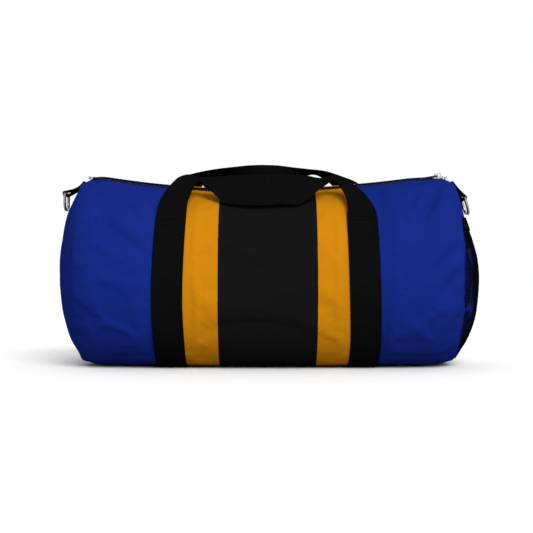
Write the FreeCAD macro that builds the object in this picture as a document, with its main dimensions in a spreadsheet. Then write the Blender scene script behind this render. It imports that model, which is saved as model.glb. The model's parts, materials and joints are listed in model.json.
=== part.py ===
"""Barrel duffel bag of the 20 x 9 in class: a FreeCAD macro in millimetres.

+X runs along the bag to the end with the mesh pocket, -Y is the front and +Z is up.
The origin is on the floor under the middle of the bag.
"""
import FreeCAD, Part

import math
import os

import Sketcher
from FreeCAD import Placement, Rotation, Vector

doc = FreeCAD.newDocument("duffel_bag")
sheet = doc.addObject("Spreadsheet::Sheet", "Sheet")

# ---------------------------------------------------------------- driving dimensions

DIMENSIONS = {
    # fabric envelope
    "half_length": 240.0,  # middle of the bag to an end seam
    "shoulder": 11.0,  # length over which the barrel draws in to the end seam
    "base_level": 1.9,  # underside of the fabric, which rests on the webbing bands
    "mid_top": 226.5,  # the top sags in the middle of the bag
    "end_top": 245.5,
    "mid_base_half": 45.0,  # half width of the flat underside
    "end_base_half": 25.0,
    "mid_corner": 80.0,  # radius between the underside and the side
    "end_corner": 70.0,
    "seam_round": 113.0,  # radius of the sewn edge of an end panel
    "seam_height": 124.0,  # height of its centre
    "fabric": 1.0,
    "dome": 28.0,  # how far a filled end panel stands out
    # lining and seam binding
    "lining_gap": 3.4,  # outer face of the fabric to outer face of the lining
    "lining": 0.5,
    "lining_half": 226.0,
    "lining_round": 111.0,
    "lining_dome": 36.0,
    "lining_slot": 12.0,
    "binding_width": 9.0,
    "binding": 2.0,
    "binding_round": 111.4,
    # zip
    "slot_half": 10.0,
    "tape_edge": 16.0,
    "tape_end": 228.0,
    "slot_end": 236.0,
    "tape_depth": 2.3,  # top of the fabric to top of the tape
    "tape": 0.6,
    "chain_gap": 0.9,  # half the gap that the slider's post runs in
    "chain_half": 3.6,
    "chain_depth": 0.9,  # top of the fabric to top of the coil
    "chain_thick": 2.2,
    "chain_end": 231.0,
    "stop_length": 3.2,
    "stop_thick": 3.0,
    "slider_park": 223.0,  # middle of the closed slider along X
    "slider_long": 13.0,
    "slider_half": 5.2,
    "slider_lip": 1.0,
    "wing": 1.3,
    "wing_gap": 0.4,
    "post_half": 0.5,
    "bail_rise": 4.6,
    "bail_long": 9.0,
    "bail_wide": 2.4,
    "pull_long": 27.0,
    "pull_half": 3.6,
    "pull_thick": 2.0,
    "pull_bar": 0.7,  # half of the puller's cross bar, which turns inside the bail
    "pull_window": 5.0,
    # webbing bands and handles
    "band_place": 118.0,  # middle of each band along X
    "webbing": 38.0,
    "webbing_thick": 1.6,
    "band_clear": 0.4,
    "sewn_top": 190.0,  # height at which the handles leave the bag
    "tack_long": 30.0,
    "tack_half": 14.0,
    "tack_thick": 0.5,
    "handle_thick": 2.0,
    # shoulder strap rings
    "ring_wire": 1.9,  # radius of the wire
    "ring_half": 15.5,  # centre line of the ring, half width
    "ring_drop": 21.0,
    "ring_corner": 9.0,
    "tab_half": 12.5,
    "tab_thick": 3.0,
    "tab_wrap": 2.3,  # inner radius of the fold that holds the ring's bar
    # mesh pocket
    "pocket_stand": 0.6,  # clearance between the end panel and the mesh
    "pocket_dome": 29.5,
    "mesh": 0.8,
    "pocket_mouth": 190.0,
    "elastic_width": 15.0,
    "elastic": 1.8,
}
for row, (alias, value) in enumerate(DIMENSIONS.items(), start=1):
    sheet.set(f"A{row}", alias)
    sheet.set(f"B{row}", str(value))
    sheet.setAlias(f"B{row}", alias)
doc.recompute()

NODES = []  # the objects that are written out, one STEP file each


def size(alias):
    """Value of one driving dimension, for shapes that are set by code."""
    return float(sheet.get(alias))


def node(obj, label):
    """Marks an object as a sub-part of the bag."""
    obj.Label = label
    NODES.append(obj)
    return obj


def bind(obj, **expressions):
    """Binds properties to the sheet; a double underscore stands for a dot."""
    for name, text in expressions.items():
        words = [f"Sheet.{word}" if word in DIMENSIONS else word for word in text.split()]
        obj.setExpression(name.replace("__", "."), " ".join(words))
    return obj


def cloth(label, shape):
    """A sewn piece whose shape no primitive gives, as a plain feature."""
    obj = doc.addObject("Part::Feature", label)
    obj.Shape = shape
    obj.Placement = Placement()
    return node(obj, label)


# ---------------------------------------------------------------- the barrel's sections

LEVEL = size("half_length") - size("shoulder")  # the barrel has its full height up to here
SAG = size("end_top") - size("mid_top")
ARC_RADIUS = (LEVEL**2 + SAG**2) / (2 * SAG)  # the zip line, seen from the front
ARC_HEIGHT = size("mid_top") + ARC_RADIUS


def section(x, base_half, corner, bottom, top, grow):
    """Closed outline: flat base, two corner arcs and one round top, offset by grow."""
    height = top - bottom
    crown = base_half**2 / (2 * (height - 2 * corner)) + height / 2
    corner_z = bottom + corner
    crown_z = top - crown
    lean = math.atan2(corner_z - crown_z, base_half)

    def point(y, z, radius, angle):
        reach = radius + grow
        return Vector(x, y + reach * math.cos(angle), z + reach * math.sin(angle))

    down = -math.pi / 2
    base_right = point(base_half, corner_z, corner, down)
    side_right = point(base_half, corner_z, corner, lean)
    bulge_right = point(base_half, corner_z, corner, (down + lean) / 2)
    peak = point(0, crown_z, crown, -down)

    def mirror(place):
        return Vector(x, -place.y, place.z)

    return Part.Wire([
        Part.LineSegment(mirror(base_right), base_right).toShape(),
        Part.Arc(base_right, bulge_right, side_right).toShape(),
        Part.Arc(side_right, peak, mirror(side_right)).toShape(),
        Part.Arc(mirror(side_right), mirror(bulge_right), mirror(base_right)).toShape(),
    ])


def level_section(x, grow):
    """Outline where the barrel has its full height; it sags towards the middle."""
    share = (x / LEVEL) ** 2

    def between(middle, end):
        return size(middle) + (size(end) - size(middle)) * share

    top = ARC_HEIGHT - math.sqrt(ARC_RADIUS**2 - x**2)
    base_half = between("mid_base_half", "end_base_half")
    return section(x, base_half, between("mid_corner", "end_corner"), size("base_level"), top, grow)


def round_section(x, radius):
    """Outline at an end seam: a circle with a sliver of flat, so that it lofts well."""
    flat = 0.5
    centre = size("seam_height")
    return section(x, flat, radius - flat, centre - radius, centre + radius, 0)


def barrel(grow, level_x, seam_x, seam_radius):
    """Solid inside one layer of the barrel, from end seam to end seam."""
    spans = 4
    levels = [level_x * (2 * step / spans - 1) for step in range(spans + 1)]
    middle = Part.makeLoft([level_section(x, grow) for x in levels], True, False)
    ends = []
    for side in (-1, 1):
        outline = level_section(side * level_x, grow)
        seam = round_section(side * seam_x, seam_radius)
        ends.append(Part.makeLoft([outline, seam], True, True))
    return middle.fuse(ends).removeSplitter()


def box(low, high):
    """Box between two corners."""
    span = Vector(*high) - Vector(*low)
    return Part.makeBox(span.x, span.y, span.z, Vector(*low))


def slot_box(half, end):
    """Space that the zip opening takes out of a layer."""
    return box((-end, -half, size("seam_height")), (end, half, size("end_top") + 20))


def wrap_shell():
    outer = barrel(0, LEVEL, size("half_length"), size("seam_round"))
    thin = size("fabric")
    inner = barrel(-thin, LEVEL, size("half_length"), size("seam_round") - thin)
    return outer.cut([inner, slot_box(size("slot_half"), size("slot_end"))])


def lining_shell():
    half = size("lining_half")
    gap = size("lining_gap")
    thin = size("lining")
    outer = barrel(-gap, half - size("shoulder"), half, size("lining_round"))
    inner = barrel(-gap - thin, half - size("shoulder"), half, size("lining_round") - thin)
    return outer.cut([inner, slot_box(size("lining_slot"), half - 2)])


cloth("body_wrap", wrap_shell())
cloth("lining_wrap", lining_shell())


# ---------------------------------------------------------------- PartDesign helpers

def origin_plane(body, role):
    return next(item for item in body.Origin.OriginFeatures if item.Role == role)


def new_body(label, placement=None):
    body = doc.addObject("PartDesign::Body", label)
    body.Placement = placement or Placement()
    return node(body, label)


def new_sketch(body, role, name):
    sketch = body.newObject("Sketcher::SketchObject", name)
    sketch.AttachmentSupport = [(origin_plane(body, role), "")]
    sketch.MapMode = "FlatFace"
    return sketch


def draw(sketch, points):
    """Closed outline of straight lines through (x, y) points."""
    corners = [Vector(x, y, 0) for x, y in points]
    for start, end in zip(corners, corners[1:] + corners[:1]):
        sketch.addGeometry(Part.LineSegment(start, end), False)
    last = len(corners) - 1
    for index in range(len(corners)):
        following = 0 if index == last else index + 1
        sketch.addConstraint(Sketcher.Constraint("Coincident", index, 2, following, 1))


def pad(body, sketch, name, length):
    """Pads a sketch evenly to both sides, by a length bound to the sheet."""
    feature = body.newObject("PartDesign::Pad", name)
    feature.Profile = sketch
    feature.Midplane = True
    bind(feature, Length=length)
    sketch.Visibility = False
    return feature


def cap_curve(seam_x, radius, dome):
    """Radius and centre, along X, of the sphere of a domed end."""
    sphere = (radius**2 + dome**2) / (2 * dome)
    return sphere, seam_x + dome - sphere


def end_dome(label, side, seam_x, radius, dome, thick):
    """Domed shell, turned about X from an arc-shaped strip."""
    height = size("seam_height")
    turn = Rotation(Vector(0, 0, 1), 0 if side > 0 else 180)
    body = new_body(label, Placement(Vector(0, 0, height), turn))
    sketch = new_sketch(body, "XY_Plane", label + "_profile")
    outer, centre = cap_curve(seam_x, radius, dome)
    inner = outer - thick
    middle = Vector(centre, 0, 0)
    outer_rise = math.asin(radius / outer)
    inner_rise = math.acos((seam_x - centre) / inner)

    def rim(reach, angle):
        return Vector(centre + reach * math.cos(angle), reach * math.sin(angle), 0)

    circle = Part.Circle(middle, Vector(0, 0, 1), outer)
    sketch.addGeometry(Part.ArcOfCircle(circle, 0, outer_rise), False)
    circle = Part.Circle(middle, Vector(0, 0, 1), inner)
    sketch.addGeometry(Part.ArcOfCircle(circle, 0, inner_rise), False)
    sketch.addGeometry(Part.LineSegment(rim(inner, 0), rim(outer, 0)), False)
    sketch.addGeometry(Part.LineSegment(rim(outer, outer_rise), rim(inner, inner_rise)), False)
    feature = body.newObject("PartDesign::Revolution", label + "_turn")
    feature.Profile = sketch
    feature.ReferenceAxis = (sketch, ["H_Axis"])
    feature.Angle = 360
    return body


def seam_binding(label, side):
    """Tape folded over the raw edges inside an end seam."""
    body = new_body(label, Placement(Vector(0, 0, size("seam_height")), Rotation()))
    sketch = new_sketch(body, "XY_Plane", label + "_profile")
    outer = size("binding_round")
    inner = outer - size("binding")
    start = side * (size("half_length") - size("binding_width") - 0.5)
    end = side * (size("half_length") - 0.5)
    draw(sketch, [(start, inner), (end, inner), (end, outer), (start, outer)])
    feature = body.newObject("PartDesign::Revolution", label + "_turn")
    feature.Profile = sketch
    feature.ReferenceAxis = (sketch, ["H_Axis"])
    feature.Angle = 360
    return body


for name, side in (("left", -1), ("right", 1)):
    end_dome(f"end_panel_{name}", side, size("half_length"), size("seam_round"), size("dome"),
             size("fabric"))
    end_dome(f"lining_end_{name}", side, size("lining_half"), size("lining_round"),
             size("lining_dome"), size("lining"))
    seam_binding(f"seam_binding_{name}", side)


# ---------------------------------------------------------------- zip

def arc_turn(x):
    """Placement that carries a piece from the middle of the zip line to a place along X."""
    swing = -math.asin(x / ARC_RADIUS)
    centre = Vector(0, 0, ARC_HEIGHT)
    return Placement(Vector(), Rotation(Vector(0, 1, 0), math.degrees(swing)), centre)


def arc_bar(label, side, end, near, far, depth, thick):
    """Bar of rectangular section along the zip line, turned about the line's centre."""
    end_angle = math.degrees(math.asin(end / ARC_RADIUS))
    body = new_body(label, Placement(Vector(0, 0, ARC_HEIGHT), Rotation(Vector(0, 1, 0), end_angle)))
    sketch = new_sketch(body, "YZ_Plane", label + "_profile")
    top = size("mid_top") - depth - ARC_HEIGHT
    draw(sketch, [(side * near, top - thick), (side * far, top - thick),
                  (side * far, top), (side * near, top)])
    feature = body.newObject("PartDesign::Revolution", label + "_turn")
    feature.Profile = sketch
    feature.ReferenceAxis = (sketch, ["H_Axis"])
    feature.Angle = 2 * end_angle
    feature.Reversed = True
    return body


for name, side in (("front", -1), ("back", 1)):
    arc_bar(f"zipper_tape_{name}", side, size("tape_end"), size("chain_half"), size("tape_edge"),
            size("tape_depth"), size("tape"))
    arc_bar(f"zipper_coil_{name}", side, size("chain_end"), size("chain_gap"), size("chain_half"),
            size("chain_depth"), size("chain_thick"))


def join(label, pieces):
    """Fuses bound primitives into one sub-part."""
    fusion = doc.addObject("Part::MultiFuse", label)
    fusion.Shapes = pieces
    return node(fusion, label)


def block(name, long, wide, high, x, y, z):
    """Box primitive with its size and its lowest corner bound to the sheet."""
    obj = doc.addObject("Part::Box", name)
    bind(obj, Length=long, Width=wide, Height=high)
    return bind(obj, Placement__Base__x=x, Placement__Base__y=y, Placement__Base__z=z)


def on_arc(obj, x):
    """Moves a piece built at the middle of the zip line to its place along X."""
    obj.Placement = arc_turn(x)
    return obj


STOP_LEVEL = "mid_top - chain_depth - stop_thick + 0.4"
top_stops = [
    block("top_stop_front", "stop_length", "chain_half - chain_gap", "stop_thick",
          "0", "- chain_half", STOP_LEVEL),
    block("top_stop_back", "stop_length", "chain_half - chain_gap", "stop_thick",
          "0", "chain_gap", STOP_LEVEL),
]
on_arc(join("zipper_top_stops", top_stops), size("chain_end") + 0.1)
bottom_stop = [
    block("bottom_stop_plate", "stop_length", "2 * chain_half", "stop_thick",
          "- stop_length", "- chain_half", STOP_LEVEL),
    block("bottom_stop_ridge", "stop_length / 2", "chain_half", "stop_thick",
          "- 0.75 * stop_length", "- chain_half / 2", STOP_LEVEL + " + 0.5"),
]
on_arc(join("zipper_bottom_stop", bottom_stop), -size("chain_end") - 0.1)


def slider_pieces():
    """Two wings joined by a post, lips beside the coil, and the bail for the pull."""
    upper = "mid_top - chain_depth + wing_gap"
    lower = "mid_top - chain_depth - chain_thick - wing_gap - wing"
    start = "- slider_long / 2"
    wide = "2 * slider_half"
    pieces = [
        block("upper_wing", "slider_long", wide, "wing", start, "- slider_half", upper),
        block("lower_wing", "slider_long", wide, "wing", start, "- slider_half", lower),
        block("post", "slider_long / 4", "2 * post_half", "chain_thick + 2 * wing_gap + wing",
              "slider_long / 4", "- post_half", lower + " + wing / 2"),
    ]
    lip_drop = "tape_depth - chain_depth - 0.1"
    for name, y in (("front", "- slider_half"), ("back", "slider_half - slider_lip")):
        pieces.append(block(f"upper_lip_{name}", "slider_long", "slider_lip", lip_drop,
                            start, y, "mid_top - tape_depth + 0.5"))
    roof = upper + " + wing + bail_rise - wing_gap - 0.8"
    foot = upper + " + wing / 2"
    pieces.append(block("bail_roof", "bail_long", "bail_wide", "wing",
                        "- bail_long / 2", "- bail_wide / 2", roof))
    for name, x in (("left", "- bail_long / 2"), ("right", "bail_long / 2 - wing")):
        pieces.append(block(f"bail_foot_{name}", "wing", "bail_wide", "bail_rise",
                            x, "- bail_wide / 2", foot))
    return pieces


on_arc(join("zipper_slider", slider_pieces()), size("slider_park"))

PULL_LEVEL = size("mid_top") - size("chain_depth") + size("wing_gap") + size("wing") + 1.4


def zipper_pull():
    """Flat puller with a window at one end, through which the bail passes."""
    body = new_body("zipper_pull")
    sketch = new_sketch(body, "XY_Plane", "pull_outline")
    half = size("pull_half")
    long = size("pull_long")
    bar = size("pull_bar")
    corner = 2.0
    draw(sketch, [(bar, -half), (bar, half), (corner - long, half), (-long, half - corner),
                  (-long, corner - half), (corner - long, -half)])
    pad(body, sketch, "pull_blank", "pull_thick")
    window = new_sketch(body, "XY_Plane", "pull_window")
    edge = half - 2 * bar
    end = -bar - size("pull_window")
    draw(window, [(end, -edge), (-bar, -edge), (-bar, edge), (end, edge)])
    cut = body.newObject("PartDesign::Pocket", "pull_cut")
    cut.Profile = window
    cut.Midplane = True
    bind(cut, Length="3 * pull_thick")
    hang = Placement(Vector(-bar, 0, PULL_LEVEL), Rotation())
    body.Placement = arc_turn(size("slider_park")).multiply(hang)


zipper_pull()


# ---------------------------------------------------------------- webbing

def girdle(x, half, near, far):
    """Closed layer around the barrel between two offsets, half wide to each side of x."""
    spots = [x - half, x, x + half]
    outer = Part.makeLoft([level_section(spot, far) for spot in spots], True, False)
    inner = Part.makeLoft([level_section(spot, near) for spot in spots], True, False)
    return outer.cut(inner)


def webbing_band(side):
    """Band around the underside, up to where the handles leave the bag."""
    x = side * size("band_place")
    near = size("band_clear")
    ring = girdle(x, size("webbing") / 2, near, near + size("webbing_thick"))
    return ring.common(box((-300, -200, 0), (300, 200, size("sewn_top"))))


def handle_tacks():
    """Sewn squares that hold the upper ends of the bands, four in all."""
    near = size("band_clear") + size("webbing_thick")
    top = size("sewn_top") - 3
    squares = []
    for side in (-1, 1):
        ring = girdle(side * size("band_place"), size("tack_half"), near, near + size("tack_thick"))
        slab = box((-300, -200, top - size("tack_long")), (300, 200, top))
        squares.extend(ring.common(slab).Solids)
    return Part.makeCompound(squares)


def strap(stations):
    """Flat strap through pairs of edge points, each with the direction of its thickness."""
    outlines = []
    for outer, inner, face in stations:
        lift = Vector(*face).normalize() * size("handle_thick")
        corners = [Vector(*outer), Vector(*inner), Vector(*inner) + lift, Vector(*outer) + lift]
        outlines.append(Part.makePolygon(corners + corners[:1]))
    return Part.makeLoft(outlines, True, True)


def mirrored(shape):
    return shape.mirror(Vector(), Vector(1, 0, 0))


PLACE = size("band_place")
HALF = size("webbing") / 2
LEAVE = size("sewn_top") + 3.0  # the free webbing starts here
FRONT_LEG = [  # outer edge, inner edge, thickness direction; the leg on the left
    ((-PLACE - HALF, -94.0, LEAVE), (-PLACE + HALF, -94.0, LEAVE), (0, -0.8, 0.6)),
    ((-PLACE - 10, -79.0, 216), (-PLACE + 26, -79.0, 213), (0, -0.8, 0.6)),
    ((-PLACE + 6, -62.0, 240.5), (-PLACE + 32, -63.0, 237), (0, -0.8, 0.6)),
]
FRONT_GRIP = [  # top edge, lower edge, thickness direction; left half, out to the middle
    ((-82, -63, 240), (-78, -69, 226), (0, -1, 0.35)),
    ((-56, -64, 241), (-52, -75, 206), (0, -1, 0.32)),
    ((0, -65, 241.5), (0, -77, 204), (0, -1, 0.32)),
]
BACK_HANDLE = [
    ((-PLACE - HALF, 94.0, LEAVE), (-PLACE + HALF, 94.0, LEAVE), (0, 0.8, 0.6)),
    ((-PLACE - 8, 68.0, 220), (-PLACE + 27, 68.0, 218), (0, 0.7, 0.7)),
    ((-PLACE + 10, 38.0, 243), (-PLACE + 40, 40.0, 239), (0, 0.5, 0.8)),
    ((-62, 2.0, 260), (-52, -2.0, 235), (0, -1, 0.2)),
    ((0, -6.0, 263), (0, -12.0, 233), (0, -1, 0.2)),
]


def swap_side(station):
    outer, inner, face = station
    return ((-outer[0],) + outer[1:], (-inner[0],) + inner[1:], face)


def whole(stations):
    """Full set of stations of a strap that is the same on both sides of X = 0."""
    return stations + [swap_side(station) for station in reversed(stations[:-1])]


for name, side in (("left", -1), ("right", 1)):
    cloth(f"webbing_band_{name}", webbing_band(side))
left_leg = strap(FRONT_LEG)
cloth("handle_front_legs", Part.makeCompound([left_leg, mirrored(left_leg)]))
cloth("handle_front_grip", strap(whole(FRONT_GRIP)))
cloth("handle_back", strap(whole(BACK_HANDLE)))
cloth("handle_tacks", handle_tacks())


# ---------------------------------------------------------------- rings and their tabs

RING_PLACES = {  # bar of the ring; droop of the tab below level and lean of the ring, in degrees
    "left": (-263.5, 223.0, 34.0, 0.0),
    "right": (255.8, 217.5, 55.8, 16.0),
}


def ring_tab(name, x, z, droop):
    """Webbing folded around the ring's bar, with both ends sewn into the end seam."""
    side = math.copysign(1, x)
    body = new_body(f"ring_tab_{name}")
    sketch = new_sketch(body, "XZ_Plane", f"tab_{name}_outline")
    slope = math.radians(droop)
    along = Vector(-side * math.cos(slope), math.sin(slope), 0)  # from the bar to the seam
    across = Vector(-along.y, along.x, 0)
    fold = size("tab_wrap") + size("tab_thick") / 2
    middle = Vector(x, z, 0)
    seam_x = side * (size("half_length") + 2.0)
    reach = abs(seam_x - x) / math.cos(slope)
    half = size("tab_thick") / 2
    far = middle + along * reach
    near = middle + along * (fold - 0.4)
    sweep = [near + across * half, far + across * half, far - across * half, near - across * half]
    draw(sketch, [(spot.x, spot.y) for spot in sweep])
    pad(body, sketch, f"tab_{name}_strip", "2 * tab_half")
    loop = new_sketch(body, "XZ_Plane", f"tab_{name}_loop")
    loop.addGeometry(Part.Circle(middle, Vector(0, 0, 1), fold), False)
    loop.addGeometry(Part.Circle(middle, Vector(0, 0, 1), size("tab_wrap")), False)
    pad(body, loop, f"tab_{name}_fold", "2 * tab_half")
    return body


def d_ring(name, x, z, lean):
    """Bent wire ring that hangs from its straight bar, its foot held off by the end panel."""
    turn = Rotation(Vector(0, 1, 0), -math.copysign(lean, x))
    body = new_body(f"d_ring_{name}", Placement(Vector(x, 0, z), turn))
    path = new_sketch(body, "YZ_Plane", f"ring_{name}_path")
    half = size("ring_half")
    drop = size("ring_drop")
    bend = size("ring_corner")
    straight = drop - bend
    normal = Vector(0, 0, 1)
    path.addGeometry(Part.LineSegment(Vector(-half, 0, 0), Vector(half, 0, 0)), False)
    path.addGeometry(Part.LineSegment(Vector(half, 0, 0), Vector(half, -straight, 0)), False)
    right = Part.Circle(Vector(half - bend, -straight, 0), normal, bend)
    path.addGeometry(Part.ArcOfCircle(right, -math.pi / 2, 0), False)
    path.addGeometry(Part.LineSegment(Vector(half - bend, -drop, 0), Vector(bend - half, -drop, 0)),
                     False)
    left = Part.Circle(Vector(bend - half, -straight, 0), normal, bend)
    path.addGeometry(Part.ArcOfCircle(left, math.pi, 1.5 * math.pi), False)
    path.addGeometry(Part.LineSegment(Vector(-half, -straight, 0), Vector(-half, 0, 0)), False)
    profile = new_sketch(body, "XZ_Plane", f"ring_{name}_wire")
    profile.addGeometry(Part.Circle(Vector(0, 0, 0), normal, size("ring_wire")), False)
    pipe = body.newObject("PartDesign::AdditivePipe", f"ring_{name}_pipe")
    pipe.Profile = profile
    pipe.Spine = path
    pipe.Transition = "Round corner"
    path.Visibility = False
    return body


for name, (bar_x, bar_z, droop, lean) in RING_PLACES.items():
    ring_tab(name, bar_x, bar_z, droop)
    d_ring(name, bar_x, bar_z, lean)


# ---------------------------------------------------------------- mesh pocket

def pocket_layer(thick):
    """Domed layer just outside the right end panel, below the pocket's mouth."""
    seam_x = size("half_length") + size("pocket_stand")
    radius = size("seam_round")
    inner, centre = cap_curve(seam_x, radius, size("pocket_dome"))
    middle = Vector(centre, 0, size("seam_height"))
    shell = Part.makeSphere(inner + thick, middle).cut(Part.makeSphere(inner, middle))
    return shell.common(box((seam_x, -200, 0), (400, 200, size("pocket_mouth"))))


def pocket_part(thick, low, high):
    return pocket_layer(thick).common(box((0, -200, low), (400, 200, high)))


ELASTIC_FOOT = size("pocket_mouth") - size("elastic_width")
cloth("pocket_mesh", pocket_part(size("mesh"), 0, ELASTIC_FOOT))
cloth("pocket_elastic", pocket_part(size("elastic"), ELASTIC_FOOT, size("pocket_mouth")))


# ---------------------------------------------------------------- check and write

doc.recompute()
for obj in doc.Objects:
    if "Invalid" in obj.State or "Error" in obj.State:
        raise RuntimeError(f"{obj.Label} failed to build: {obj.State}")
for obj in NODES:
    if obj.Shape.isNull() or not obj.Shape.isValid() or not obj.Shape.Solids:
        raise RuntimeError(f"{obj.Label} has no valid shape")

os.makedirs("parts", exist_ok=True)
for obj in NODES:
    obj.Shape.exportStep(f"parts/{obj.Label}.step")
    reach = obj.Shape.BoundBox
    print(f"{obj.Label:22s} {len(obj.Shape.Solids)} solids, {obj.Shape.Volume / 1000:7.2f} cm3")
    print(f"    x {reach.XMin:7.1f} to {reach.XMax:6.1f}")
    print(f"    y {reach.YMin:7.1f} to {reach.YMax:6.1f}")
    print(f"    z {reach.ZMin:7.1f} to {reach.ZMax:6.1f}")
print(f"{len(NODES)} sub-parts; zip line radius {ARC_RADIUS:.2f}, centre height {ARC_HEIGHT:.2f}")
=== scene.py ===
# %% [markdown]
# A barrel duffel bag: a printed cloth barrel with two domed ends, two webbing bands that run
# under it and rise into the handles, a zip along the top, a ring at each end for a shoulder
# strap, and a mesh pocket on one end. The rigid frame comes from the engineering model, so this
# script only makes what an engineer leaves plain: cloth, webbing, netting, stitches and finish.

# %% Load the frame
import json
import math

import bpy
import numpy as np
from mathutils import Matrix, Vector, noise

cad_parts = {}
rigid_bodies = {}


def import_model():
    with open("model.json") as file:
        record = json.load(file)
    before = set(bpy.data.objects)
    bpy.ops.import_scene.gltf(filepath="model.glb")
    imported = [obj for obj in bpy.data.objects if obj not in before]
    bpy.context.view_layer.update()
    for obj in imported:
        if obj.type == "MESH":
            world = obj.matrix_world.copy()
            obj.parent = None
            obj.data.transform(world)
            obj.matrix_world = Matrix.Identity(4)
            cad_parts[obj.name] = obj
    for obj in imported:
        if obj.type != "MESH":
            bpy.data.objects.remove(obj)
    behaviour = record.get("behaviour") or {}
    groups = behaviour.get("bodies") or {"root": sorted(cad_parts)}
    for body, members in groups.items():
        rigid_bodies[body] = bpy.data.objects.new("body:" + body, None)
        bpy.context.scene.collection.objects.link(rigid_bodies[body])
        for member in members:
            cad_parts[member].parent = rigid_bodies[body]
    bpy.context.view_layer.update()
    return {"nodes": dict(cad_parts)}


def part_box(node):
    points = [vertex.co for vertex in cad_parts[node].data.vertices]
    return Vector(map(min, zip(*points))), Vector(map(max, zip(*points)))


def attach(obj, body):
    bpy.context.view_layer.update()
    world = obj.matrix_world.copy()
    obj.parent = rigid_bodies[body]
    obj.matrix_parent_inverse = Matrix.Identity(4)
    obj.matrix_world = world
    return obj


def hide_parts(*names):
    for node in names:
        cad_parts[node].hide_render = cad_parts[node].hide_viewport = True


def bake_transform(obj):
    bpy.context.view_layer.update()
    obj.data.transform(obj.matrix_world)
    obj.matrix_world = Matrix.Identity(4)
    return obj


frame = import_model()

MM = 0.001

# %% [markdown]
# Every piece below is placed from the frame's boxes. The barrel's outline repeats the design's
# own numbers: a flat underside, two corner arcs and a round top, with a top line that sags.

# %% Sizes of the barrel, in metres
WRAP_LOW, WRAP_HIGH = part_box("body_wrap")
HALF_LENGTH = WRAP_HIGH[0]
FLOOR_GAP = WRAP_LOW[2]
END_TOP = 0.2455
MID_TOP = 0.2265
LEVEL = HALF_LENGTH - 0.011
SAG = END_TOP - MID_TOP
ARC_RADIUS = (LEVEL**2 + SAG**2) / (2 * SAG)
SEAM_ROUND = 0.113
SEAM_HEIGHT = 0.124
DOME = 0.028
BAND_X = 0.118
BAND_AT = {"left": -0.1198, "right": 0.1166}  # the two bands were not sewn quite evenly
WEBBING = 0.038
ZIP_EDGE = 0.0085  # where the cloth turns under beside the zip
print("barrel", round(2 * HALF_LENGTH, 4), "m long, zip arc radius", round(ARC_RADIUS, 3))

# %% [markdown]
# Numpy holds the maths. A section is sampled densely along its arcs and then resampled to equal
# steps, so that the same step number is the same thread all along the barrel.


# %% Helpers for outlines and smooth paths
def top_height(x):
    """Height of the barrel's top line."""
    return MID_TOP + ARC_RADIUS - math.sqrt(ARC_RADIUS**2 - min(abs(x), LEVEL) ** 2)


def lengths(points):
    """How far along a polyline each of its points lies."""
    steps = np.linalg.norm(np.diff(np.asarray(points, float), axis=0), axis=1)
    return np.concatenate([[0], np.cumsum(steps)])


def unit(vectors):
    """Rows of vectors, each made one long."""
    return vectors / np.linalg.norm(vectors, axis=1)[:, None]


def resample(points, count):
    """Equal steps along a polyline."""
    points, along = np.asarray(points, float), lengths(points)
    wanted = np.linspace(0, along[-1], count)
    return np.stack([np.interp(wanted, along, points[:, k]) for k in range(points.shape[1])], 1)


def smooth_path(points, step):
    """Smooth curve through given points, in equal steps."""
    points = np.asarray(points, float)
    padded = np.vstack([2 * points[0] - points[1], points, 2 * points[-1] - points[-2]])
    fine = []
    for index in range(1, len(padded) - 2):
        a, b, c, d = padded[index - 1:index + 3]
        for part in np.linspace(0, 1, 24, endpoint=False):
            fine.append(0.5 * (2 * b + (c - a) * part + (2 * a - 5 * b + 4 * c - d) * part**2
                               + (3 * b - a - 3 * c + d) * part**3))
    fine.append(padded[-2])
    length = lengths(np.array(fine)[:, :3])[-1]
    return resample(fine, max(int(length / step), 2) + 1)


def arc(centre, radius, start, end, count=60):
    angles = np.linspace(start, end, count)
    return np.stack([centre[0] + radius * np.cos(angles), centre[1] + radius * np.sin(angles)], 1)


def seat(z, share=1.0):
    """Heights near an end seam after its foot has sunk towards the floor."""
    return z - 0.0060 * share * np.clip((0.060 - z) / 0.049, 0, 1) ** 2


def outline(x, grow, count, edge=ZIP_EDGE):
    """Section (y, z) from the front edge of the zip, under the bag, to its back edge."""
    share = (min(abs(x), LEVEL) / LEVEL) ** 2
    base_half = 0.045 - 0.020 * share
    corner = 0.080 - 0.010 * share
    top = top_height(x)
    height = top - FLOOR_GAP
    crown = base_half**2 / (2 * (height - 2 * corner)) + height / 2
    lean = math.atan2(FLOOR_GAP + corner - (top - crown), base_half)
    reach = crown + grow
    edge_angle = math.acos(edge / reach)
    side = arc((0, top - crown), reach, edge_angle, lean)
    bend = arc((base_half, FLOOR_GAP + corner), corner + grow, lean, -math.pi / 2)
    back = np.vstack([side, bend[1:]])
    front = back[::-1] * [-1, 1]
    level = resample(np.vstack([back, front])[::-1], count)
    inset = np.clip((abs(x) - 0.205) / (HALF_LENGTH - 0.205), 0, 1) ** 2.2
    angle = math.acos(edge / SEAM_ROUND)
    rounded = arc((0, SEAM_HEIGHT), SEAM_ROUND + grow, math.pi - angle, 2 * math.pi + angle, 400)
    section = level * (1 - inset) + resample(rounded, count) * inset
    section[:, 1] = seat(section[:, 1], inset)
    return section


print("girth at the middle:", round(float(lengths(outline(0, 0, 400))[-1]), 3), "m")


# %% [markdown]
# Mesh helpers. A grid of points becomes a quad sheet, with a UV map in metres so that a weave
# keeps its true size. A sweep carries a profile along a path, and many small solids, such as
# stitches, are gathered into one mesh.

# %% Mesh helpers
def put(name, data):
    """A new object in the scene."""
    made = bpy.data.objects.new(name, data)
    bpy.context.scene.collection.objects.link(made)
    return made


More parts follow.
